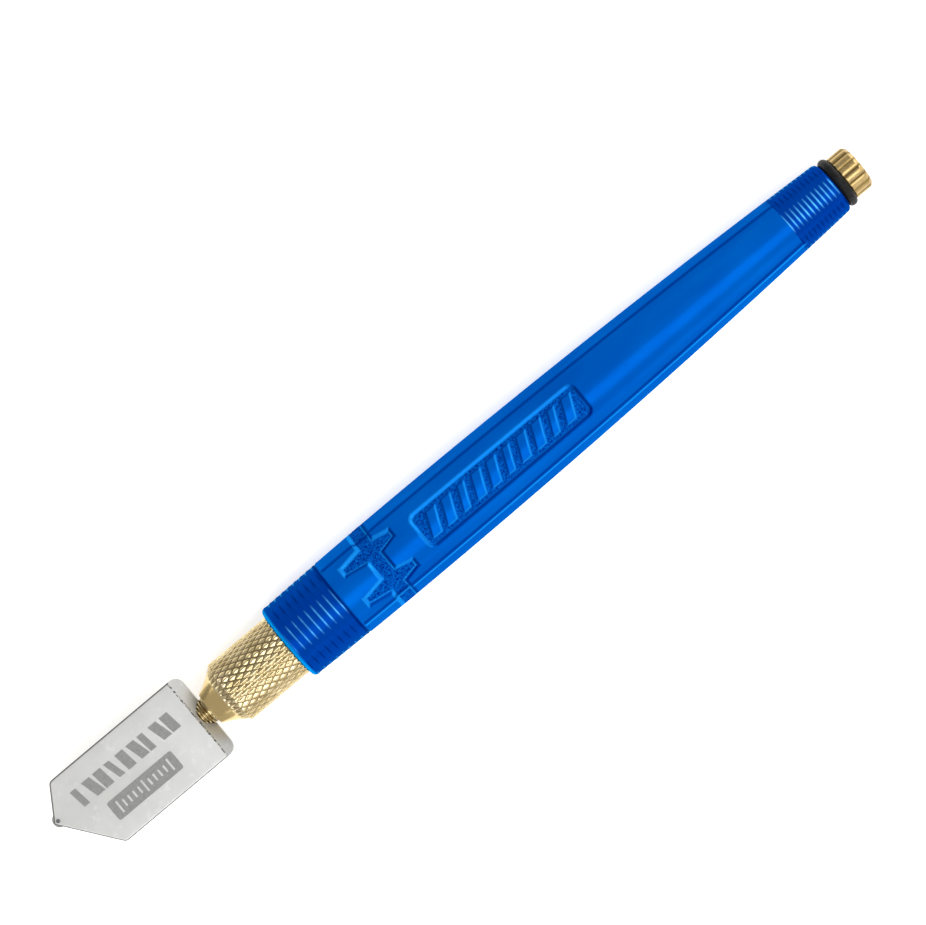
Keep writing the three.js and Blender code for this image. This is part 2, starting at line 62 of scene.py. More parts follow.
# ---- places taken from the frame -------------------------------------------------------------
handle_low, handle_high = span("handle")
AXIS = (handle_low.z + handle_high.z) / 2
HANDLE_X = handle_low.x
HANDLE_LENGTH = handle_high.x - HANDLE_X
BARREL_X = span("knurled_barrel")[0].x
BARREL_LENGTH = HANDLE_X - BARREL_X
TAIL_LENGTH = span("knurled_barrel")[1].x - HANDLE_X
CAP_X = handle_high.x
CAP_END = span("filler_cap")[1].x - CAP_X
head_low, head_high = span("head_body")
HEAD_LENGTH = 31.6
HEAD_X = head_high.x - HEAD_LENGTH
HEAD_SIDE = (head_high.y - head_low.y) / 2
HEAD_HALF = (head_high.z - head_low.z) / 2

# ---- sizes, in millimetres --------------------------------------------------------------------
SLIP = 0.03  # clearance of pieces that stay put
RUNNING = 0.1  # clearance of pieces that move

TIP_OFFSET = 2.0
TIP_ROUND = 0.5
SHORT_CHAMFER = 3.9
LONG_CHAMFER = 7.5
CHAMFER_ROUND = 1.0
BACK_BEVEL = 2.0
BACK_ROUND = 1.7
HEAD_EDGE = 0.28
WHEEL_RADIUS = 1.3
WHEEL_THICKNESS = 0.8
WHEEL_PROUD = 0.4
WHEEL_RIM = 0.03
WHEEL_CHAMFER = 0.05
WHEEL_EASE = 0.02
WHEEL_X = HEAD_X + WHEEL_RADIUS - WHEEL_PROUD
AXLE_RADIUS = 0.35
OIL_WAY_RADIUS = 0.6

PRINT_SUNK = 0.05
PRINT_PROUD = 0.012
PRINT_BARS = 9
PRINT_BARS_FROM = 5.4
PRINT_BARS_TO = 27.2
PRINT_BARS_BOTTOM = 0.95
PRINT_BARS_TOP = 4.37
PANEL_FROM = 8.9
PANEL_TO = 22.9
PANEL_BOTTOM = -4.65
PANEL_TOP = -0.95
PANEL_CORNER = 0.45
PANEL_MARKS = 11
PANEL_MARGIN = 1.5
MARK_HALF_WIDTH = 0.17
MARK_HALF_HEIGHT = 0.65
LONG_MARK_HALF_HEIGHT = 1.15

STEM_RADIUS = 2.5
STEM_BORE = 1.0
STEM_IN_HEAD = 8.0
STEM_THREAD_PITCH = 0.5
STEM_THREAD_DEPTH = 0.2
WICK_AHEAD = 12.0
STEM_CHAMFER = 0.2

NOSE_RADIUS = 3.1
NOSE_LENGTH = 4.6
NOSE_FLARE = 0.8
NOSE_SWEEP = 0.25
NOSE_WALL = 5.3
NOSE_EDGE = 0.18
BORE_CHAMFER = 0.15
CHAMBER_CHAMFER = 0.1
BARREL_RADIUS = 5.95
KNURL_FROM = 3.0
KNURL_AROUND = 32
KNURL_PITCH = 2.19
KNURL_DEPTH = 0.27
KNURL_CREST = 1.1  # over 1, so the crests are a little flat
KNURL_RUN_IN = 0.3
KNURL_RUN_OUT = 0.25
CHAMBER_RADIUS = 3.76
SEAT_AT = 13.72
SEAT_THICKNESS = 1.2
SEAT_HOLE = 1.7
TAIL_MINOR = 4.6
TAIL_MAJOR = 5.0
TAIL_CORE = 4.5
TAIL_PITCH = 1.35
GASKET_RELIEF = 1.06
GASKET_SEAT = 5.56

BELLY_RADIUS = AXIS
BELLY_AT = 27.4
FRONT_RADIUS = 7.16
END_RADIUS = 4.87
RIM_ROUND = 0.8
FRONT_BORE = 12.4
CAP_THREAD_LENGTH = 10.5
FLATS_TO = HANDLE_LENGTH - CAP_THREAD_LENGTH
FLAT_FIRST = math.radians(54)
FLAT_HALF = math.radians(12)
RIB_DEPTH = 0.07
RIB_FROM = 2.24
RIB_FLOOR = 0.05
RIB_HALF_WIDTH = 0.22
RIB_RUN_IN = 0.5
END_GROOVE_AT = 11.95
END_GROOVE_HALF = 0.25
BAND_MIDDLE = 20.8
BAND_HALF = 1.25
ARM_ANGLE = math.radians(25.7)
ARM_REACH_FRONT = 4.3
ARM_REACH_BACK = 3.2
ARM_ROOT_HALF = 1.35
ARM_TIP_HALF = 0.55
BAND_DEPTH = 0.36
BAND_WALL = 0.5
BAND_FADE = math.radians(26)
PLATE_MIDDLE = 46.75
PLATE_HALF_LENGTH = 17.85
PLATE_HALF_WIDTH = 3.6
PLATE_CORNER = 1.0
PLATE_DEPTH = 0.35
PLATE_WALL = 0.45
BAR_COUNT = 10
BAR_PITCH = 3.25
BAR_HALF_WIDTH = 0.95
BAR_HALF_HEIGHT = 2.15
BAR_SLANT = -0.42
BAR_HEIGHT = 0.3
BAR_WALL = 0.28
STIPPLE = 0.055
FLOOR_INSET = 0.05
EDGE_LINE = 0.2
WALL_SPREAD = 0.22
WALL_CONTRAST = 0.75
RIM_LIGHT = 0.4
FLAT_LINE = 0.38
LIGHT_LINE = 0.8
LIGHT_LINE_BELOW = 0.15
DARK_LINE = 0.85
DARK_LINE_ABOVE = 0.6
RESERVOIR_RADIUS = 2.4
RESERVOIR_CONE = 2.5

CAP_PITCH = 0.9
CAP_SHANK = 6.3
CAP_MINOR = 1.72
CAP_MAJOR = 2.15
CAP_CLEARANCE = 0.14
CAP_FLANGE = 1.86
CAP_COLLAR = 2.95
CAP_RADIUS = 4.18
CAP_FLUTES = 16
CAP_FLUTE_DEPTH = 0.24
CAP_EDGE = 0.6
CAP_SLOT_WIDTH = 1.2
CAP_SLOT_DEPTH = 1.0
SEAL_SECTION = 0.9
SPRING_WIRE = 0.3


# ---- shader helpers ---------------------------------------------------------------------------
class Material:
    """A Principled material whose colour, roughness and bump come from nodes."""

    def __init__(self, name, metallic=0.0, **even):
        self.material = bpy.data.materials.new(name)
        self.material.use_nodes = True
        self.tree = self.material.node_tree
        self.shader = self.tree.nodes["Principled BSDF"]
        self.shader.inputs["Metallic"].default_value = metallic
        for socket, value in even.items():
            self.shader.inputs[socket.replace("_", " ")].default_value = value
        self.place = self.node("ShaderNodeTexCoord").outputs["Object"]

    def node(self, kind, **settings):
        made = self.tree.nodes.new(kind)
        for key, value in settings.items():
            setattr(made, key, value)
        return made

    def feed(self, socket, value):
        if isinstance(value, bpy.types.NodeSocket):
            self.tree.links.new(value, socket)
        else:
            socket.default_value = value

    def math(self, operation, *values):
        made = self.node("ShaderNodeMath", operation=operation)
        for socket, value in zip(made.inputs, values):
            self.feed(socket, value)
        return made.outputs[0]

    def noise(self, scale, detail=3.0, stretch=(1, 1, 1)):
        mapping = self.node("ShaderNodeMapping")
        self.feed(mapping.inputs["Vector"], self.place)
        mapping.inputs["Scale"].default_value = stretch
        made = self.node("ShaderNodeTexNoise")
        self.feed(made.inputs["Vector"], mapping.outputs["Vector"])
        made.inputs["Scale"].default_value = scale
        made.inputs["Detail"].default_value = detail
        return made.outputs["Fac"]

    def between(self, factor, low, high):
        made = self.node("ShaderNodeMapRange")
        self.feed(made.inputs["Value"], factor)
        made.inputs["From Min"].default_value = 0.3
        made.inputs["From Max"].default_value = 0.7
        made.inputs["To Min"].default_value = low
        made.inputs["To Max"].default_value = high
        return made.outputs["Result"]

    def mix(self, factor, first, second):
        made = self.node("ShaderNodeMix", data_type="RGBA")
        self.feed(made.inputs["Factor"], factor)
        colours = [s for s in made.inputs if s.type == "RGBA"]
        for socket, value in zip(colours, (first, second)):
            self.feed(socket, value if isinstance(value, bpy.types.NodeSocket) else (*value, 1))
        return next(s for s in made.outputs if s.type == "RGBA")

    def tint(self, tone, share, strength, colour):
        """The tone, turned towards a colour by a share between 0 and 1 times a strength."""
        return self.mix(self.math("MULTIPLY", share, strength), tone, colour)

    def place_in_mm(self):
        """Place along the axis, across it, and above it, in millimetres."""
        apart = self.node("ShaderNodeSeparateXYZ")
        self.feed(apart.inputs[0], self.place)
        x, y, z = (self.math("DIVIDE", apart.outputs[axis], MM) for axis in "XYZ")
        return x, y, self.math("SUBTRACT", z, AXIS)

    def share(self, name):
        """What mark() wrote on the mesh under this name, or 0 on a mesh without it."""
        return self.node("ShaderNodeAttribute", attribute_name=name).outputs["Fac"]

    def ramp(self, value, low, high):
        """0 below low, 1 above high, or the other way round where low is the greater."""
        made = self.node("ShaderNodeMapRange")
        self.feed(made.inputs["Value"], value)
        made.inputs["From Min"].default_value = low
        made.inputs["From Max"].default_value = high
        return made.outputs["Result"]

    def within(self, value, low, high, edge):
        """1 between low and high, fading to 0 over the edge on each side."""
        above = self.ramp(value, low - edge, low)
        return self.math("MULTIPLY", above, self.ramp(value, high + edge, high))

    def thread_lines(self, origin, pitch, width):
        """Lines along the crests of a right-hand thread, and a wave round the axis that is 1 at the
        middle of each of four sides and -1 between them."""
        x, y, z = self.place_in_mm()
        angle = self.math("ARCTAN2", y, z)
        along = self.math("DIVIDE", self.math("SUBTRACT", x, origin), pitch)
        phase = self.math("FRACT", self.math("ADD", along, self.math("DIVIDE", angle, 2 * math.pi)))
        away = self.math("MULTIPLY", self.math("ABSOLUTE", self.math("SUBTRACT", phase, 0.5)), pitch)
        side = self.math("COSINE", self.math("MULTIPLY", angle, 4))
        return self.ramp(away, width, 0.0), side

    def colour(self, value):
        self.feed(self.shader.inputs["Base Color"], value)

    def roughness(self, value):
        self.feed(self.shader.inputs["Roughness"], value)

    def bump(self, height, distance, strength=1.0):
        made = self.node("ShaderNodeBump")
        made.inputs["Strength"].default_value = strength
        made.inputs["Distance"].default_value = distance
        self.feed(made.inputs["Height"], height)
        self.feed(self.shader.inputs["Normal"], made.outputs["Normal"])


# ---- materials --------------------------------------------------------------------------------
def blue_plastic():
    """Deep blue plastic whose gloss is tinted too. Near both ends painted shade, painted dark dashes and
    painted light streaks stand in for threads seen through it; the front lip has a painted highlight, the
    end groove painted shade, and the edges and recess walls painted light on one side and painted shade
    on the other."""
    made = Material("blue_plastic", Specular_IOR_Level=0.0, Specular_Tint=(0.0, 0.8, 1.0, 1))
    x = made.place_in_mm()[0]
    flow = made.between(made.noise(60, 2, (1, 4, 4)), 0, 1)
    tone = made.mix(flow, (0.0, 0.078, 0.43), (0.0, 0.104, 0.5))
    edge = 0.1
    line_width = 0.2
    groove_at = HANDLE_X + END_GROOVE_AT
    for origin, low, high, pitch in (
            (HANDLE_X, HANDLE_X + RIM_ROUND, groove_at, TAIL_PITCH),
            (CAP_X, CAP_X - CAP_THREAD_LENGTH + edge, CAP_X, CAP_PITCH)):
        # Painted shade darkens each thread zone. Painted dark dashes at the sides and painted light
        # streaks (glints) along the thread crests stand in for the thread seen through the plastic.
        zone = made.within(x, low, high, edge)
        tone = made.tint(tone, zone, 0.64, (0.0, 0.012, 0.22))
        lines, side = made.thread_lines(origin, pitch, line_width)
        lines = made.math("MULTIPLY", lines, zone)
        painted_dark_dashes = made.math("MULTIPLY", lines, made.ramp(side, -0.65, -0.95))
        tone = made.tint(tone, painted_dark_dashes, 0.7, (0.0, 0.005, 0.08))
        painted_glints = made.math("MULTIPLY", lines, made.ramp(side, 0.0, 0.75))
        broken = made.between(made.noise(420, 2, (0.3, 1, 1)), 0.3, 1.0)
        tone = made.tint(tone, painted_glints, broken, (0.09, 0.5, 1.0))
    # Painted shade: a dark ring in the groove at the end of the front thread.
    groove = made.within(x, groove_at - 0.35, groove_at, 0.12)
    tone = made.tint(tone, groove, 0.7, (0.0, 0.008, 0.12))
    # Painted highlight: a light rim along the front lip.
    painted_lip_highlight = made.within(x, HANDLE_X - 0.1, HANDLE_X + 0.4, 0.25)
    tone = made.tint(tone, painted_lip_highlight, 0.8, (0.0, 0.34, 0.9))
    floor = made.share("floor")
    grain = made.between(made.noise(3300, 2), 0.0, 1.0)
    tone = made.mix(floor, tone, made.mix(grain, (0.0, 0.008, 0.16), (0.0, 0.125, 0.58)))
    # Painted light and painted shade from handle_shares(), on the edges and recess walls.
    tone = made.mix(made.share("glow"), tone, (0.01, 0.29, 0.85))
    tone = made.mix(made.share("shade"), tone, (0.0, 0.012, 0.17))
    made.colour(tone)
    metal = made.math("SUBTRACT", 0.18, made.math("MULTIPLY", floor, 0.16))
    made.feed(made.shader.inputs["Metallic"], metal)
    gloss = made.between(made.noise(900), 0.22, 0.28)
    made.roughness(made.math("ADD", gloss, made.math("MULTIPLY", floor, 0.25)))
    made.bump(made.noise(1500, 3), 0.00001, 0.1)
    return made.material


def turned_brass(name, dark, light, rough=0.2):
    """Turned brass, brighter where mark() wrote bare and darker where it wrote groove."""
    made = Material(name, metallic=1.0)
    tone = made.mix(made.between(made.noise(350), 0, 1), dark, light)
    tone = made.mix(made.share("bare"), tone, (0.78, 0.58, 0.26))
    made.colour(made.mix(made.share("groove"), tone, (0.15, 0.10, 0.03)))
    made.roughness(made.between(made.noise(1500), rough, rough + 0.14))
    made.bump(made.noise(2500, 2, (6, 1, 1)), 0.00001, 0.15)
    return made.material


def satin_chrome():
    """Satin plating with paler scuffs, painted shade along the rounded edge (a painted dark reflection),
    and a dull back bevel that starts at a pitted line."""
    made = Material("satin_chrome", metallic=1.0)
    tone = made.mix(made.between(made.noise(120), 0, 1), (0.41, 0.41, 0.398), (0.48, 0.48, 0.472))
    scuffs = made.ramp(made.noise(900, 5), 0.56, 0.7)
    tone = made.tint(tone, scuffs, 0.28, (0.60, 0.60, 0.59))
    x, _, z = made.place_in_mm()
    bevel_at = HEAD_X + HEAD_LENGTH - BACK_BEVEL
    depth = made.math("SUBTRACT", HEAD_HALF, made.math("ABSOLUTE", z))
    # Painted shade: the rounded edge is darkened, a painted dark reflection.
    painted_rim = made.within(depth, 0.05, 0.2, 0.04)
    painted_rim = made.math("MULTIPLY", painted_rim, made.math("LESS_THAN", x, bevel_at))
    tone = made.tint(tone, painted_rim, 0.9, (0.07, 0.07, 0.073))
    line = made.within(x, bevel_at, bevel_at + 0.2, 0.06)
    pits = made.math("GREATER_THAN", made.noise(2600, 3, (1, 0.8, 1)), 0.52)
    made.colour(made.tint(tone, line, pits, (0.05, 0.05, 0.055)))
    satin = made.between(made.noise(1800, 4, (1, 8, 8)), 0.28, 0.38)
    dull = made.math("MULTIPLY", made.math("GREATER_THAN", x, bevel_at), 0.2)
    made.roughness(made.math("ADD", satin, dull))
    made.bump(made.noise(3200, 4, (1, 6, 6)), 0.00001, 0.25)
    return made.material


def ground_steel(name, dark, light, rough):
    made = Material(name, metallic=1.0)
    made.colour(made.mix(made.between(made.noise(2500), 0, 1), dark, light))
    made.roughness(made.between(made.noise(4000), rough, rough + 0.12))
    made.bump(made.noise(6000), 0.000005, 0.3)
    return made.material


def print_grey():
    made = Material("print_grey")
    speckle = made.between(made.noise(2500), 0, 1)
    made.colour(made.mix(speckle, (0.20, 0.20, 0.195), (0.245, 0.245, 0.24)))
    made.roughness(made.between(made.noise(3000), 0.45, 0.6))
    made.bump(made.noise(4000), 0.000005, 0.2)
    return made.material


def black_rubber():
    made = Material("black_rubber", Specular_IOR_Level=0.15)
    bloom = made.between(made.noise(900), 0, 1)
    made.colour(made.mix(bloom, (0.005, 0.005, 0.005), (0.012, 0.012, 0.012)))
    made.roughness(made.between(made.noise(2200), 0.42, 0.6))
    made.bump(made.noise(5000), 0.00001, 0.35)
    return made.material


def wick_cotton():
    made = Material("wick_cotton")
    strands = made.between(made.noise(1500), 0, 1)
    made.colour(made.mix(strands, (0.55, 0.5, 0.38), (0.78, 0.73, 0.6)))
    made.roughness(made.between(made.noise(800), 0.85, 1.0))
    made.bump(made.noise(3000, 4, (1, 5, 5)), 0.00005, 0.8)
    return made.material


BLUE = blue_plastic()
BRASS = turned_brass("turned_brass", (0.50, 0.38, 0.17), (0.66, 0.52, 0.28))
KNURLED = turned_brass("knurled_brass", (0.60, 0.47, 0.24), (0.86, 0.71, 0.43), rough=0.13)
THREADED = turned_brass("threaded_brass", (0.60, 0.47, 0.24), (0.76, 0.63, 0.37))
CAP_BRASS = turned_brass("cap_brass", (0.44, 0.30, 0.11), (0.62, 0.46, 0.22), rough=0.32)
CHROME = satin_chrome()
CARBIDE = ground_steel("carbide", (0.16, 0.165, 0.17), (0.27, 0.275, 0.28), 0.2)
PIN_STEEL = ground_steel("pin_steel", (0.10, 0.10, 0.103), (0.17, 0.17, 0.173), 0.3)
SPRING_STEEL = ground_steel("spring_steel", (0.35, 0.35, 0.36), (0.5, 0.5, 0.52), 0.22)
PRINT = print_grey()
RUBBER = black_rubber()
COTTON = wick_cotton()


# ---- mesh helpers -----------------------------------------------------------------------------
def smoothed(obj, degrees):
    """Smooth shading, with edges sharper than the angle kept sharp."""
    obj.data.shade_smooth()
    if degrees:
        obj.data.set_sharp_from_angle(angle=math.radians(degrees))


def piece(name, points, faces, material, sharp=35):
    """A mesh object from points in millimetres about the tool's axis."""
    mesh = bpy.data.meshes.new(name)
    mesh.from_pydata(((np.asarray(points, float) + (0, 0, AXIS)) * MM).tolist(), [], faces)
    mesh.update()
    mesh.materials.append(material)
    obj = bpy.data.objects.new(name, mesh)
    bpy.context.scene.collection.objects.link(obj)
    smoothed(obj, sharp)
    return obj


def mark(obj, **shares):
    """Writes shares from 0 to 1 on the mesh's first points, for the materials to read by name."""
    for name, share in shares.items():
        whole = np.zeros(len(obj.data.vertices), np.float32)
        whole[:np.size(share)] = np.ravel(share)
        obj.data.attributes.new(name, "FLOAT", "POINT").data.foreach_set("value", whole)


def skin(x, radius, angles, hubs=None):
    """Rows of points round the axis, joined by quads. The rows close on themselves, or, with
    hubs, each end is closed by a fan to a point on the axis."""
    rows, columns = radius.shape
    x = np.broadcast_to(x, radius.shape)
    points = np.stack([x, -radius * np.sin(angles), radius * np.cos(angles)], -1).reshape(-1, 3)
    i = np.arange(rows - 1 if hubs else rows)[:, None]
    j = np.arange(columns)[None, :]
    right = (j + 1) % columns
    below = (i + 1) % rows
    corners = [i * columns + j, i * columns + right, below * columns + right, below * columns + j]
    faces = np.stack(corners, -1).reshape(-1, 4).tolist()
    if hubs:
        first, last = len(points), len(points) + 1
        points = np.vstack([points, [[hubs[0], 0, 0], [hubs[1], 0, 0]]])
        base = (rows - 1) * columns
        for k in range(columns):
            after = (k + 1) % columns
            faces.append([first, after, k])
            faces.append([last, base + k, base + after])
    return points, faces


def even_angles(columns):
    return np.linspace(-math.pi, math.pi, columns, endpoint=False)


def places(profile):
    """Where a profile of (x, radius) points lies along the axis."""
    return [x for x, _ in profile]


def level(profile, columns):
    """The profile's radii as rows that are the same all the way round."""
    return np.repeat(np.array([radius for _, radius in profile], float)[:, None], columns, 1)


def thread_radius(x, angles, origin, pitch, minor, major):
    """Right-hand V thread, the same as the one in the CAD model."""
    turn = (x - origin) / pitch - (angles + math.pi / 2) / (2 * math.pi)
    return minor + (major - minor) * (1 - np.abs(2 * (turn % 1) - 1))


def cut(target, *cutters):
    """Takes each cutter out of the target, then deletes it."""
    for cutter in cutters:
        modifier = target.modifiers.new("cut", "BOOLEAN")
        modifier.operation = "DIFFERENCE"
        modifier.solver = "EXACT"
        modifier.object = cutter
    evaluated = target.evaluated_get(bpy.context.evaluated_depsgraph_get())
    mesh = bpy.data.meshes.new_from_object(evaluated)
    target.modifiers.clear()
    target.data = mesh
    for cutter in cutters:
        bpy.data.objects.remove(cutter)


def prism(name, outline, low, high, material):
    """A closed piece from an outline of (x, y) points, between two heights."""
    count = len(outline)
    points = [(x, y, low) for x, y in outline] + [(x, y, high) for x, y in outline]
    faces = [list(range(count))[::-1], list(range(count, 2 * count))]
    for k in range(count):
        after = (k + 1) % count
        faces.append([k, after, count + after, count + k])
    return piece(name, points, faces, material, 30)


def rounded_outline(corners, steps=8, inset=0.0):
    """Points of a polygon, listed counter-clockwise, with its corners rounded by arcs."""
    outline = []
    count = len(corners)
    sides = []
    for k in range(count):
        a, b = Vector(corners[k][:2]), Vector(corners[(k + 1) % count][:2])
        along = (b - a).normalized()
        inward = Vector((-along.y, along.x))
        sides.append((a + inward * inset, along))
    for k in range(count):
        (p, before), (q, after) = sides[k - 1], sides[k]
        turn = before.x * after.y - before.y * after.x
        reach = ((q - p).x * after.y - (q - p).y * after.x) / turn
        corner = p + before * reach
        radius = max(corners[k][2] - inset, 0.04)
        half = math.acos(max(-1, min(1, (-before).dot(after)))) / 2
        middle = corner + (after - before).normalized() * radius / math.sin(half)
        start = corner - before * radius / math.tan(half) - middle
        bend = math.pi - 2 * half
        for step in range(steps + 1):
            angle = bend * step / steps
            c, s = math.cos(angle), math.sin(angle)
            outline.append((middle.x + start.x * c - start.y * s, middle.y + start.x * s + start.y * c))
    return outline


def finish_piece(obj, body, slot, *nodes):
    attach(obj, body)
    if nodes:
        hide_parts(*nodes)


# ---- head -------------------------------------------------------------------------------------
def rod_about(name, from_x, to_x, radius):
    """A rod along the tool's axis, to cut with."""
    columns = 64
    surface = level([(from_x, radius), (to_x, radius)], columns)
    points, faces = skin([[from_x], [to_x]], surface, even_angles(columns), (from_x, to_x))
    return piece(name, points, faces, CHROME)


def upright_rod(name, x, y, half, radius):
    """A rod through the head from face to face, to cut with."""
    outline = [
        (x + radius * math.cos(a), y + radius * math.sin(a))
        for a in np.linspace(0, 2 * math.pi, 48, endpoint=False)
    ]
    return prism(name, outline, -half, half, CHROME)


def head_plate():
    """The head's flat body, with its edges rounded, its back bevelled and its holes cut."""
    tip, end = HEAD_X, HEAD_X + HEAD_LENGTH
    corners = [
        (tip, TIP_OFFSET, TIP_ROUND),
        (tip + LONG_CHAMFER, -HEAD_SIDE, CHAMFER_ROUND),
        (end, -HEAD_SIDE, BACK_ROUND),
        (end, HEAD_SIDE, BACK_ROUND),
        (tip + SHORT_CHAMFER, HEAD_SIDE, CHAMFER_ROUND),
    ]
    steps = 6
    levels = [(HEAD_EDGE + 0.04, HEAD_HALF)]
    for k in range(steps + 1):
        turn = math.pi / 2 * k / steps
        levels.append((HEAD_EDGE * (1 - math.sin(turn)), HEAD_HALF - HEAD_EDGE * (1 - math.cos(turn))))
    levels += [(inset, -z) for inset, z in reversed(levels)]
    loops = [[(x, y, z) for x, y in rounded_outline(corners, inset=inset)] for inset, z in levels]
    count = len(loops[0])
    faces = [list(range(count)), [(len(loops) - 1) * count + k for k in reversed(range(count))]]
    for row in range(len(loops) - 1):
        for k in range(count):
            after = (k + 1) % count
            faces.append([row * count + k, (row + 1) * count + k, (row + 1) * count + after,
                          row * count + after])
    plate = piece("head_plate", [p for loop in loops for p in loop], faces, CHROME)

    wedges = []
    for side in (1, -1):
        slope = [(end - BACK_BEVEL, HEAD_HALF), (end + 1, HEAD_HALF - BACK_BEVEL - 1),
                 (end + 1, HEAD_HALF + 1), (end - BACK_BEVEL - 1, HEAD_HALF + 1)]
        points = [(x, y, side * z) for y in (-HEAD_SIDE - 1, HEAD_SIDE + 1) for x, z in slope]
        faces = [[0, 1, 2, 3], [7, 6, 5, 4], [0, 4, 5, 1], [1, 5, 6, 2], [2, 6, 7, 3], [3, 7, 4, 0]]
        if side < 0:
            faces = [face[::-1] for face in faces]
        wedges.append(piece("wedge", points, faces, CHROME))
    socket_floor = end - STEM_IN_HEAD
    wick_end = socket_floor - WICK_AHEAD
    way = Vector((WHEEL_X - wick_end - 1, TIP_OFFSET, 0))
    oil_way = rod_about("oil_way", -0.5, way.length, OIL_WAY_RADIUS)
    oil_way.data.transform(Matrix.Translation((0, 0, -AXIS * MM)))
    turn = Matrix.Rotation(math.atan2(way.y, way.x), 4, "Z")
    oil_way.data.transform(Matrix.Translation(((wick_end + 1) * MM, 0, AXIS * MM)) @ turn)
    cut(plate, *wedges,
        upright_rod("slot", WHEEL_X, TIP_OFFSET, WHEEL_THICKNESS / 2 + RUNNING, WHEEL_RADIUS + 0.2),
        upright_rod("pin_hole", WHEEL_X, TIP_OFFSET, HEAD_HALF + 1, AXLE_RADIUS + SLIP),
        rod_about("socket", socket_floor, end + 1, STEM_RADIUS + SLIP),
        rod_about("wick_way", wick_end, socket_floor + 1, STEM_BORE),
        oil_way)
    smoothed(plate, 32)
    finish_piece(plate, "head_unit", "head", "head_body")


def face_print():
    """Plain slanted bars and a panel of tick marks, printed on the head's upper face."""
    low, high = HEAD_HALF - PRINT_SUNK, HEAD_HALF + PRINT_PROUD
    pitch = (PRINT_BARS_TO - PRINT_BARS_FROM) / PRINT_BARS
    for k in range(PRINT_BARS):
        x = HEAD_X + PRINT_BARS_FROM + pitch * k
        wide = pitch * (0.72 if k % 3 else 0.5)
        lean = 0.9 if k % 2 else 0.45
        outline = [(x + lean, PRINT_BARS_BOTTOM), (x + lean + wide, PRINT_BARS_BOTTOM),
                   (x + wide, PRINT_BARS_TOP), (x, PRINT_BARS_TOP)]
        bar = prism(f"print_bar_{k + 1}", outline, low, high, PRINT)
        finish_piece(bar, "head_unit", "head")

    left, right = HEAD_X + PANEL_FROM, HEAD_X + PANEL_TO
    corners = [(left, PANEL_BOTTOM), (right, PANEL_BOTTOM), (right, PANEL_TOP), (left, PANEL_TOP)]
    outline = rounded_outline([(x, y, PANEL_CORNER) for x, y in corners])
    panel = prism("print_panel", outline, low, high, PRINT)
    middle = (PANEL_TOP + PANEL_BOTTOM) / 2
    ticks = []
    for k in range(PANEL_MARKS):
        x = left + PANEL_MARGIN + (right - left - 2 * PANEL_MARGIN) * k / (PANEL_MARKS - 1)
        tall = LONG_MARK_HALF_HEIGHT if k % 5 == 0 else MARK_HALF_HEIGHT
        outline = [(x - MARK_HALF_WIDTH, middle - tall), (x + MARK_HALF_WIDTH, middle - tall),
                   (x + MARK_HALF_WIDTH, middle + tall), (x - MARK_HALF_WIDTH, middle + tall)]
        ticks.append(prism("tick", outline, low - 1, high + 1, PRINT))
    cut(panel, *ticks)
    smoothed(panel, 30)
    finish_piece(panel, "head_unit", "head")


def scoring_wheel():
    """The wheel, turned about its own upright axis: flat sides, two cones and a fine edge."""
    half, bore = WHEEL_THICKNESS / 2, AXLE_RADIUS + RUNNING / 2
    land = WHEEL_RADIUS - half
    edge = WHEEL_RADIUS - WHEEL_RIM
    profile = np.array([
        (-half, bore + WHEEL_CHAMFER), (-half, land), (-half + WHEEL_EASE, land + WHEEL_EASE),
        (-WHEEL_RIM, edge), (0, WHEEL_RADIUS - 0.005), (WHEEL_RIM, edge),
        (half - WHEEL_EASE, land + WHEEL_EASE), (half, land), (half, bore + WHEEL_CHAMFER),
        (half - WHEEL_CHAMFER, bore), (-half + WHEEL_CHAMFER, bore)])
    columns = 96
    radius = np.repeat(profile[:, 1:], columns, 1)
    points, faces = skin(profile[:, :1], radius, even_angles(columns))
    points = points[:, [2, 1, 0]] + (WHEEL_X, TIP_OFFSET, 0)
    faces = [face[::-1] for face in faces]
    wheel = piece("scoring_wheel", points, faces, CARBIDE, 20)
    finish_piece(wheel, "wheel", "wheel", "cutting_wheel")


# ---- stem and barrel --------------------------------------------------------------------------
def threaded_stem():
    """The hollow stem, threaded from the head's back bevel to the barrel's nose."""
    low, high = span("head_stem")
    start, end = low.x, high.x
    thread_from, thread_to = HEAD_X + HEAD_LENGTH - BACK_BEVEL - 1, BARREL_X - 0.15
    columns = 72
    angles = even_angles(columns)
    fine = np.arange(thread_from, thread_to, STEM_THREAD_PITCH / 8)
    run_in = np.clip(np.minimum(fine - thread_from, thread_to - fine) / 0.2, 0, 1)[:, None]
    deep = thread_radius(fine[:, None], angles[None, :], 0, STEM_THREAD_PITCH, 1, 0)
    outer = STEM_RADIUS - STEM_THREAD_DEPTH * run_in * deep ** 0.8
    front = [(start, STEM_BORE), (start, STEM_RADIUS - STEM_CHAMFER), (start + STEM_CHAMFER, STEM_RADIUS)]
    back = [(thread_to, STEM_RADIUS), (end - STEM_CHAMFER, STEM_RADIUS),
            (end, STEM_RADIUS - STEM_CHAMFER), (end, STEM_BORE)]
    x = np.concatenate([places(front), fine, places(back)])[:, None]
    radius = np.vstack([level(front, columns), outer, level(back, columns)])
    points, faces = skin(x, radius, angles)
    stem = piece("threaded_stem", points, faces, THREADED, 40)
    mark(stem, groove=np.vstack([np.zeros((len(front), columns)), deep]))
    finish_piece(stem, "head_unit", "brass", "head_stem")


def nose_radius(x):
    """Outline of the barrel's nose, which sweeps out to the full radius."""
    share = np.clip(x / NOSE_LENGTH, 0, 1)
    flare = NOSE_FLARE * share + NOSE_SWEEP * share ** 3
    return NOSE_RADIUS + (BARREL_RADIUS - NOSE_RADIUS) * np.minimum(flare, 1)


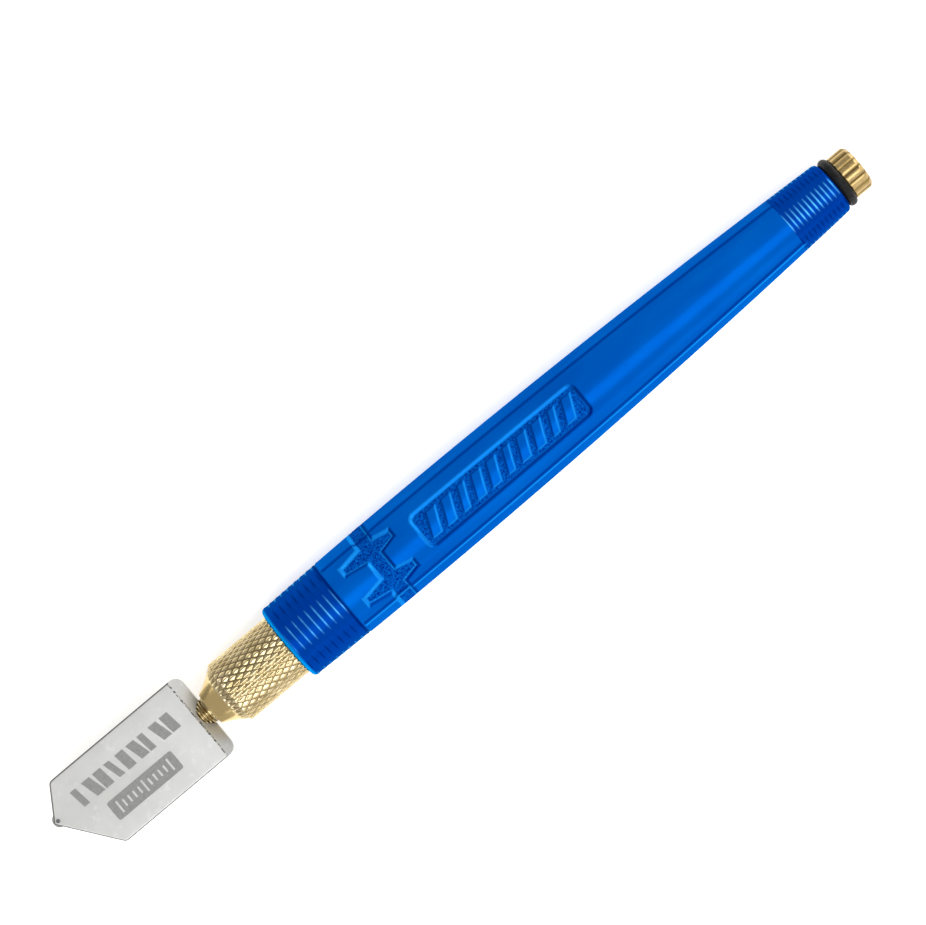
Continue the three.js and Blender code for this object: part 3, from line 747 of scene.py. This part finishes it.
def knurled_sleeve():
    """The barrel: a bare nose, the diamond knurl, the tail's thread, and the valve's chamber inside."""
    columns = KNURL_AROUND * 8
    angles = even_angles(columns)
    quarter = [math.pi / 2 * k / 4 for k in range(5)]
    edge_r = nose_radius(NOSE_EDGE)
    nose = [(NOSE_EDGE * (1 - math.cos(t)), edge_r - NOSE_EDGE * (1 - math.sin(t))) for t in quarter]
    nose += [(x, nose_radius(x)) for x in np.arange(0.4, KNURL_FROM, 0.2)]

    knurl_x = np.arange(KNURL_FROM, BARREL_LENGTH - KNURL_RUN_OUT, KNURL_PITCH / 18)[:, None]
    around = KNURL_AROUND * angles[None, :] / (2 * math.pi)
    ridge = np.full((len(knurl_x), columns), 1.0)
    for hand in (1, -1):
        turn = around + hand * knurl_x / KNURL_PITCH
        ridge = np.minimum(ridge, 1 - np.abs(2 * (turn % 1) - 1))
    fade = np.clip((knurl_x - KNURL_FROM) / KNURL_RUN_IN, 0, 1)
    groove = fade * (1 - np.minimum(ridge * KNURL_CREST, 1))
    knurl_r = nose_radius(knurl_x) - KNURL_DEPTH * groove
    darkened = np.clip(2.2 * groove - 1.2, 0, 1)  # only the deepest part of a groove is darkened

    end = BARREL_LENGTH + TAIL_LENGTH
    seat_back = SEAT_AT + SEAT_THICKNESS
    stem_hole = STEM_RADIUS + RUNNING
    relief = [(BARREL_LENGTH - 0.12, BARREL_RADIUS - 0.1), (BARREL_LENGTH, BARREL_RADIUS - 0.3),
              (BARREL_LENGTH, TAIL_CORE), (BARREL_LENGTH + GASKET_RELIEF, TAIL_CORE)]
    thread_x = np.arange(BARREL_LENGTH + GASKET_RELIEF, end, TAIL_PITCH / 8)[:, None]
    thread_r = thread_radius(thread_x, angles[None, :], BARREL_LENGTH, TAIL_PITCH, TAIL_MINOR, TAIL_MAJOR)
    inside = [(end, TAIL_MINOR), (end, CHAMBER_RADIUS + CHAMBER_CHAMFER),
              (end - CHAMBER_CHAMFER, CHAMBER_RADIUS), (seat_back, CHAMBER_RADIUS),
              (seat_back, SEAT_HOLE), (SEAT_AT, SEAT_HOLE), (SEAT_AT, CHAMBER_RADIUS),
              (NOSE_WALL, CHAMBER_RADIUS), (NOSE_WALL, stem_hole), (BORE_CHAMFER, stem_hole),
              (0, stem_hole + BORE_CHAMFER)]
    x = np.concatenate([places(nose), knurl_x[:, 0], places(relief), thread_x[:, 0],
                        places(inside)])[:, None]
    radius = np.vstack([level(nose, columns), knurl_r, level(relief, columns), thread_r,
                        level(inside, columns)])
    points, faces = skin(x + BARREL_X, radius, angles)
    sleeve = piece("knurled_sleeve", points, faces, KNURLED, 60)
    bare = np.ones((len(nose), columns))
    mark(sleeve, groove=np.vstack([0 * bare, darkened]), bare=bare)
    finish_piece(sleeve, "handle_unit", "brass", "knurled_barrel")


def coil_spring():
    """The valve's spring, built at one length; in the tool it shortens as the head is pressed in."""
    low, high = span("valve_spring")
    middle = (high.y - low.y) / 2 - SPRING_WIRE
    turns, steps, sides = 5, 40, 12
    t = np.linspace(0, 1, turns * steps + 1)
    angle = 2 * math.pi * turns * t
    length = high.x - low.x - 2 * SPRING_WIRE
    path = np.stack([low.x + SPRING_WIRE + length * t, middle * np.cos(angle), middle * np.sin(angle)], 1)
    outward = np.stack([0 * t, np.cos(angle), np.sin(angle)], 1)
    forward = np.gradient(path, axis=0)
    forward /= np.linalg.norm(forward, axis=1)[:, None]
    side = np.cross(forward, outward)
    points = []
    for k in range(sides):
        a = 2 * math.pi * k / sides
        points.append(path + SPRING_WIRE * (math.cos(a) * outward + math.sin(a) * side))
    points = np.stack(points, 1).reshape(-1, 3)
    faces = []
    for row in range(len(t) - 1):
        for k in range(sides):
            after = (k + 1) % sides
            faces.append([row * sides + k, row * sides + after, (row + 1) * sides + after,
                          (row + 1) * sides + k])
    faces.append(list(range(sides))[::-1])
    faces.append([(len(t) - 1) * sides + k for k in range(sides)])
    spring = piece("coil_spring", points, faces, SPRING_STEEL)
    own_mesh(spring)
    finish_piece(spring, "handle_unit", "spring", "valve_spring")


# ---- handle -----------------------------------------------------------------------------------
def outline_radius(x):
    """Radius of the handle's outline: two parabolas that meet at the belly."""
    behind = x > BELLY_AT
    share = (x - BELLY_AT) / np.where(behind, HANDLE_LENGTH - BELLY_AT, BELLY_AT)
    end = np.where(behind, END_RADIUS, FRONT_RADIUS)
    return BELLY_RADIUS - (BELLY_RADIUS - end) * share ** 2


def ramp(distance, wall):
    """1 inside a shape, falling to 0 across the wall outside it."""
    return np.clip(1 - distance / wall, 0, 1)


def band_distance(x, angles):
    """Distance outside the stippled band and its tapered arms, in millimetres."""
    away = x - BAND_MIDDLE
    beyond = np.abs(away) - BAND_HALF
    reach = np.where(away < 0, ARM_REACH_FRONT, ARM_REACH_BACK)
    half = ARM_ROOT_HALF + (ARM_TIP_HALF - ARM_ROOT_HALF) * np.clip(beyond / reach, 0, 1)
    distance = beyond + 0 * angles
    for middle in (0, math.pi):
        turn = np.abs((angles - middle + math.pi) % (2 * math.pi) - math.pi)
        arc = np.abs(turn - ARM_ANGLE) * BELLY_RADIUS
        distance = np.minimum(distance, np.maximum(arc - half, beyond - reach))
    return distance


def plate_distance(x, angles):
    """Distance outside the floor of the long recess on the top."""
    arc = angles * BELLY_RADIUS
    along = np.abs(x - PLATE_MIDDLE) - (PLATE_HALF_LENGTH - PLATE_WALL - PLATE_CORNER)
    across = np.abs(arc) - (PLATE_HALF_WIDTH - PLATE_WALL - PLATE_CORNER)
    outside = np.hypot(np.maximum(along, 0), np.maximum(across, 0))
    return outside + np.minimum(np.maximum(along, across), 0) - PLATE_CORNER


def bars_distance(x, angles):
    """Distance outside the nearest of the raised slanted bars."""
    arc = angles * BELLY_RADIUS
    along = x - PLATE_MIDDLE - BAR_SLANT * arc
    index = np.clip(np.round(along / BAR_PITCH - 0.5) + 0.5, (1 - BAR_COUNT) / 2, (BAR_COUNT - 1) / 2)
    wide = BAR_HALF_WIDTH * np.where(np.round(index - 0.5) % 3 == 0, 0.72, 1.0)
    across = np.abs(along - index * BAR_PITCH) - wide
    return np.maximum(across, np.abs(arc) - BAR_HALF_HEIGHT)


def handle_radius(x, angles):
    """Radius of the handle's surface, and 1 where a point lies on a stippled floor."""
    radius = outline_radius(x) + 0 * angles
    from_side = np.abs(math.pi / 2 - np.abs(angles))
    from_middle = np.abs(math.pi / 2 - FLAT_FIRST - FLAT_HALF - from_side)
    flats = (x >= FRONT_BORE) & (x <= FLATS_TO) & (from_middle < FLAT_HALF)
    radius = np.where(flats, radius * math.cos(FLAT_HALF) / np.cos(from_middle), radius)
    from_rib = np.abs((x - RIB_FROM + TAIL_PITCH / 2) % TAIL_PITCH - TAIL_PITCH / 2)
    between_ribs = 1 - ramp(from_rib - RIB_FLOOR, RIB_HALF_WIDTH)
    ribs = np.clip((x - RIM_ROUND) / RIB_RUN_IN, 0, 1) * between_ribs
    radius = radius - np.where(x < END_GROOVE_AT, RIB_DEPTH * ribs, 0)
    radius = radius - 2 * RIB_DEPTH * ramp(np.abs(x - END_GROOVE_AT), END_GROOVE_HALF)
    band = band_distance(x, angles)
    radius = radius - BAND_DEPTH * ramp(band, BAND_WALL) * np.clip(from_side / BAND_FADE, 0, 1)
    plate = plate_distance(x, angles)
    bars = bars_distance(x, angles)
    radius = radius - PLATE_DEPTH * ramp(plate, PLATE_WALL) + BAR_HEIGHT * ramp(bars, BAR_WALL)
    on_plate = (plate < -FLOOR_INSET) & (bars > BAR_WALL)
    return radius, ((band < -FLOOR_INSET) | on_plate).astype(float)


def handle_shares(x, angles, radius, floor):
    """The share of each point that lies on a stippled floor, and the painted light and painted shade on
    the recess walls and along the edges."""
    glow = 0 * radius
    shade = 0 * radius
    # Each shape has the width of its wall, the painted light that the wall takes, and that of its foot;
    # walls facing one way get painted light and the others painted shade.
    for distance, wall, light, foot_light in (
            (band_distance(x, angles), BAND_WALL, 0.8, 1),
            (plate_distance(x, angles), PLATE_WALL, 0.55, 0.3),
            (-bars_distance(x, angles), 0, 1, 0)):
        slope_x, slope_arc = np.gradient(distance, x[:, 0], angles[0] * BELLY_RADIUS)
        lit = np.clip(-WALL_CONTRAST * (slope_arc + slope_x), -1, 1)
        on_wall = ramp(np.abs(distance - wall / 2) - wall / 2, WALL_SPREAD)
        painted_rim = RIM_LIGHT * ramp(np.abs(distance - wall), EDGE_LINE) * (lit > 0)
        foot = foot_light * ramp(np.abs(distance), EDGE_LINE)
        glow = np.maximum.reduce([glow, painted_rim, light * on_wall * lit, -lit * foot])
        shade = np.maximum(shade, on_wall * (1 - foot) * -lit)
    # The upper flats begin at an edge with a painted dark line (painted shade) above it, and on the -Y
    # side a painted light line.
    from_edge = (np.abs(angles) - FLAT_FIRST) * radius
    from_flats = np.abs(x - (FRONT_BORE + FLATS_TO) / 2) - (FLATS_TO - FRONT_BORE) / 2
    on_flats = ramp(from_flats, EDGE_LINE)
    line = LIGHT_LINE * ramp(np.abs(from_edge - LIGHT_LINE_BELOW), FLAT_LINE) * on_flats
    glow = np.maximum(glow, line * (angles > 0))
    line = DARK_LINE * ramp(np.abs(from_edge + DARK_LINE_ABOVE), 1.5 * FLAT_LINE) * on_flats
    return {"floor": floor, "glow": glow, "shade": np.maximum(shade, line)}


def handle_angles():
    """Columns round the handle, closest together where the recesses have their walls."""
    stretches = [(0, 40, 1.25), (40, 48, 2), (48, 60, 1), (60, 78, 3), (78, 102, 2), (102, 126, 3),
                 (126, 180, 2)]
    half = np.concatenate([np.arange(low, high - 0.01, step) for low, high, step in stretches])
    return np.radians(np.concatenate([-half[:0:-1], half, [180]]))


def handle_rows():
    """Rows along the handle between its rounded ends, close together on the ribs and recesses."""
    rib_step, band_step, plate_step, plain_step, end_step = TAIL_PITCH / 10, 0.14, 0.17, 1.6, 1.2
    band_from, band_to = 13.9, 26.6
    plate_from = PLATE_MIDDLE - PLATE_HALF_LENGTH
    plate_to = PLATE_MIDDLE + PLATE_HALF_LENGTH
    plain_from = 66.5
    return np.concatenate([
        np.arange(RIM_ROUND, FRONT_BORE - 0.2, rib_step),
        [FRONT_BORE - 0.05, FRONT_BORE, FRONT_BORE + 0.6],
        np.arange(band_from, band_to, band_step),
        [27.2, 28.0],
        np.arange(plate_from - 0.3, plate_to + 0.4, plate_step),
        np.arange(plain_from, FLATS_TO - 1, plain_step),
        [FLATS_TO, FLATS_TO + 0.05],
        np.arange(FLATS_TO + 1, HANDLE_LENGTH - RIM_ROUND - 0.3, end_step)])


def handle_shell():
    """The handle: its outer surface, the mouth for the cap, the reservoir and the barrel's thread."""
    angles = handle_angles()
    columns = len(angles)
    body_x = handle_rows()[:, None]
    body_r, floor = handle_radius(body_x, angles[None, :])
    shares = handle_shares(body_x, angles[None, :], body_r, floor)
    grain = np.random.default_rng(7).uniform(-1, 1, body_r.shape)
    body_r = body_r + STIPPLE * grain * floor

    turns = np.linspace(0, math.pi / 2, 6)[:-1]
    from_end = RIM_ROUND * (1 - np.cos(turns))
    below = RIM_ROUND * (1 - np.sin(turns))
    front = list(zip(from_end, outline_radius(from_end) - below))
    back_x = HANDLE_LENGTH - from_end[::-1]
    back = [(HANDLE_LENGTH - RIM_ROUND, outline_radius(HANDLE_LENGTH - RIM_ROUND))]
    back += zip(back_x, outline_radius(back_x) - below[::-1])
    back.append((HANDLE_LENGTH, CAP_MAJOR + CAP_CLEARANCE + 0.1))

    cap_from = HANDLE_LENGTH - CAP_THREAD_LENGTH
    cap_minor, cap_major = CAP_MINOR + CAP_CLEARANCE, CAP_MAJOR + CAP_CLEARANCE
    cap_x = np.arange(HANDLE_LENGTH - 0.05, cap_from, -CAP_PITCH / 6)[:, None]
    cap_r = thread_radius(cap_x, angles[None, :], HANDLE_LENGTH, CAP_PITCH, cap_minor, cap_major)
    store = [(cap_from, cap_minor), (cap_from - RESERVOIR_CONE, RESERVOIR_RADIUS),
             (80, RESERVOIR_RADIUS), (45, RESERVOIR_RADIUS), (FRONT_BORE, RESERVOIR_RADIUS),
             (FRONT_BORE, TAIL_MINOR + RUNNING)]
    minor, major = TAIL_MINOR + RUNNING, TAIL_MAJOR + RUNNING
    screw_x = np.arange(FRONT_BORE - 0.02, GASKET_RELIEF, -TAIL_PITCH / 6)[:, None]
    screw_r = thread_radius(screw_x, angles[None, :], 0, TAIL_PITCH, minor, major)
    seat = [(GASKET_RELIEF, major), (GASKET_RELIEF, GASKET_SEAT), (0, GASKET_SEAT)]

    x = np.concatenate([places(front), body_x[:, 0], places(back), cap_x[:, 0], places(store),
                        screw_x[:, 0], places(seat)])[:, None]
    radius = np.vstack([level(front, columns), body_r, level(back, columns), cap_r,
                        level(store, columns), screw_r, level(seat, columns)])
    points, faces = skin(x + HANDLE_X, radius, angles)
    shell = piece("handle_shell", points, faces, BLUE, None)
    before = np.zeros((len(front), columns))
    mark(shell, **{name: np.vstack([before, share]) for name, share in shares.items()})
    finish_piece(shell, "handle_unit", "handle", "handle")


# ---- filler cap and its ring ------------------------------------------------------------------
def fluted_cap():
    """The cap: a threaded shank, the collar that carries the ring, and a fluted, slotted head."""
    columns = CAP_FLUTES * 10
    angles = even_angles(columns)
    start, end = -CAP_SHANK, CAP_END
    shank_x = np.arange(start, 0, CAP_PITCH / 8)[:, None]
    shank_r = thread_radius(shank_x, angles[None, :], 0, CAP_PITCH, CAP_MINOR, CAP_MAJOR)
    collar = [(SLIP, CAP_MINOR), (SLIP, CAP_COLLAR), (CAP_FLANGE, CAP_COLLAR),
              (CAP_FLANGE, CAP_RADIUS - CAP_FLUTE_DEPTH - 0.35)]
    # The head's rounding: places along the axis, and how far each lies inside the head's radius.
    rounding = [(CAP_FLANGE, -0.2), (CAP_FLANGE + 0.08, -0.06), (CAP_FLANGE + 0.22, 0)]
    rounding += [(x, 0) for x in np.linspace(CAP_FLANGE + 0.5, end - CAP_EDGE - 0.12, 8)]
    rounding += [(end - CAP_EDGE, -0.03), (end - CAP_EDGE + 0.1, -0.12),
                 (end - 0.12, -CAP_EDGE + 0.06), (end, -CAP_EDGE - 0.08)]
    ridge = np.abs(np.sin(angles * CAP_FLUTES / 2)) ** 0.7
    fluted = CAP_RADIUS - CAP_FLUTE_DEPTH * (1 - ridge)
    head_r = np.array([np.minimum(fluted, CAP_RADIUS + lower) for _, lower in rounding])
    x = np.concatenate([shank_x[:, 0], places(collar), places(rounding)])[:, None]
    radius = np.vstack([shank_r, level(collar, columns), head_r])
    points, faces = skin(x + CAP_X, radius, angles, (start + CAP_X, end + CAP_X))
    cap = piece("fluted_cap", points, faces, CAP_BRASS, 40)
    before = np.zeros((len(shank_x) + len(collar), columns))
    mark(cap, groove=np.vstack([before, np.tile(1 - ridge, (len(rounding), 1))]))
    half = CAP_SLOT_WIDTH / 2
    low, high = end - CAP_SLOT_DEPTH + CAP_X, end + 1 + CAP_X
    wide = CAP_RADIUS + 1
    slot = prism("cap_slot", [(low, -wide), (high, -wide), (high, wide), (low, wide)], -half, half, BRASS)
    cut(cap, slot)
    smoothed(cap, 40)
    finish_piece(cap, "cap", "brass", "filler_cap")


def cap_oring():
    """The black ring that seals the cap."""
    low, high = span("cap_seal")
    columns = 120
    middle_x = (low.x + high.x) / 2
    middle_r = (high.y - low.y) / 2 - SEAL_SECTION
    turns = np.linspace(0, 2 * math.pi, 28, endpoint=False)[:, None]
    x = middle_x + SEAL_SECTION * np.sin(turns)
    radius = np.repeat(middle_r + SEAL_SECTION * np.cos(turns), columns, 1)
    points, faces = skin(x, radius, even_angles(columns))
    oring = piece("cap_oring", points, faces, RUBBER, None)
    finish_piece(oring, "cap_ring", "rubber", "cap_seal")


def carried_over():
    """CAD nodes that are shown as they are, each with its finished material."""
    finishes = {
        "wheel_axle": PIN_STEEL, "oil_wick": COTTON, "valve_plunger": BRASS, "valve_poppet": BRASS,
        "spring_retainer": BRASS, "nose_seal": RUBBER, "valve_seal": RUBBER, "barrel_gasket": RUBBER,
    }
    for node, material in finishes.items():
        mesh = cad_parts[node].data
        mesh.materials.clear()
        mesh.materials.append(material)


# ---- room, lights and camera, in metres -------------------------------------------------------
CAMERA_HEIGHT = 0.742
CAMERA_TURN = math.radians(40)
VIEW_WIDTH = 0.1557
SENSOR = 36.0
AIM = Vector((0.00439, 0.00442, AXIS * MM))
FLOOR_HALF = 3.0
FLOOR_HEIGHT = -0.00003
FLOOR_GLOW = 0.45
SKY_STRENGTH = 0.47
WHITE = (1, 1, 1, 1)
# name, place, power in watts, size
LIGHTS = (
    ("strip", (0.05, -0.37, 1.2), 13.5, (2.0, 0.62)),
    ("side", (1.1, 0.35, 0.38), 6.0, (0.6, 0.5)),
    ("low", (0.1, -0.9, 0.4), 2.0, (1.6, 0.3)),
)


def camera():
    data = bpy.data.cameras.new("camera")
    data.sensor_width = SENSOR
    data.lens = SENSOR * CAMERA_HEIGHT / VIEW_WIDTH
    data.clip_end = 20
    obj = bpy.data.objects.new("camera", data)
    place = Matrix.Translation(AIM + Vector((0, 0, CAMERA_HEIGHT)))
    obj.matrix_world = place @ Matrix.Rotation(-CAMERA_TURN, 4, "Z")
    bpy.context.scene.collection.objects.link(obj)
    bpy.context.scene.camera = obj


def area_light(name, place, power, size):
    """A white rectangular light that faces the object."""
    data = bpy.data.lights.new(name, "AREA")
    data.shape = "RECTANGLE"
    data.size, data.size_y = size
    data.energy = power
    obj = bpy.data.objects.new(name, data)
    obj.location = place
    obj.rotation_euler = (-Vector(place)).to_track_quat("-Z", "Y").to_euler()
    bpy.context.scene.collection.objects.link(obj)


def studio_floor():
    """A pale floor that glows a little, so that it stays close to white."""
    made = Material("floor")
    cloud = made.between(made.noise(30), 0, 1)
    made.colour(made.mix(cloud, (0.94, 0.93, 0.89), (0.96, 0.95, 0.91)))
    made.shader.inputs["Emission Color"].default_value = WHITE
    made.shader.inputs["Emission Strength"].default_value = FLOOR_GLOW
    made.roughness(made.between(made.noise(40), 0.8, 0.9))
    mesh = bpy.data.meshes.new("floor")
    corners = [(-1, -1), (1, -1), (1, 1), (-1, 1)]
    points = [(FLOOR_HALF * x, FLOOR_HALF * y, FLOOR_HEIGHT) for x, y in corners]
    mesh.from_pydata(points, [], [[0, 1, 2, 3]])
    mesh.materials.append(made.material)
    floor = bpy.data.objects.new("floor", mesh)
    bpy.context.scene.collection.objects.link(floor)


def room():
    studio_floor()
    world = bpy.data.worlds.new("studio")
    world.use_nodes = True
    sky = world.node_tree.nodes["Background"]
    sky.inputs["Color"].default_value = WHITE
    sky.inputs["Strength"].default_value = SKY_STRENGTH
    bpy.context.scene.world = world
    for light in LIGHTS:
        area_light(*light)
    bpy.context.scene.view_settings.view_transform = "Standard"


camera()
head_plate()
face_print()
scoring_wheel()
threaded_stem()
knurled_sleeve()
coil_spring()
handle_shell()
fluted_cap()
cap_oring()
carried_over()
room()
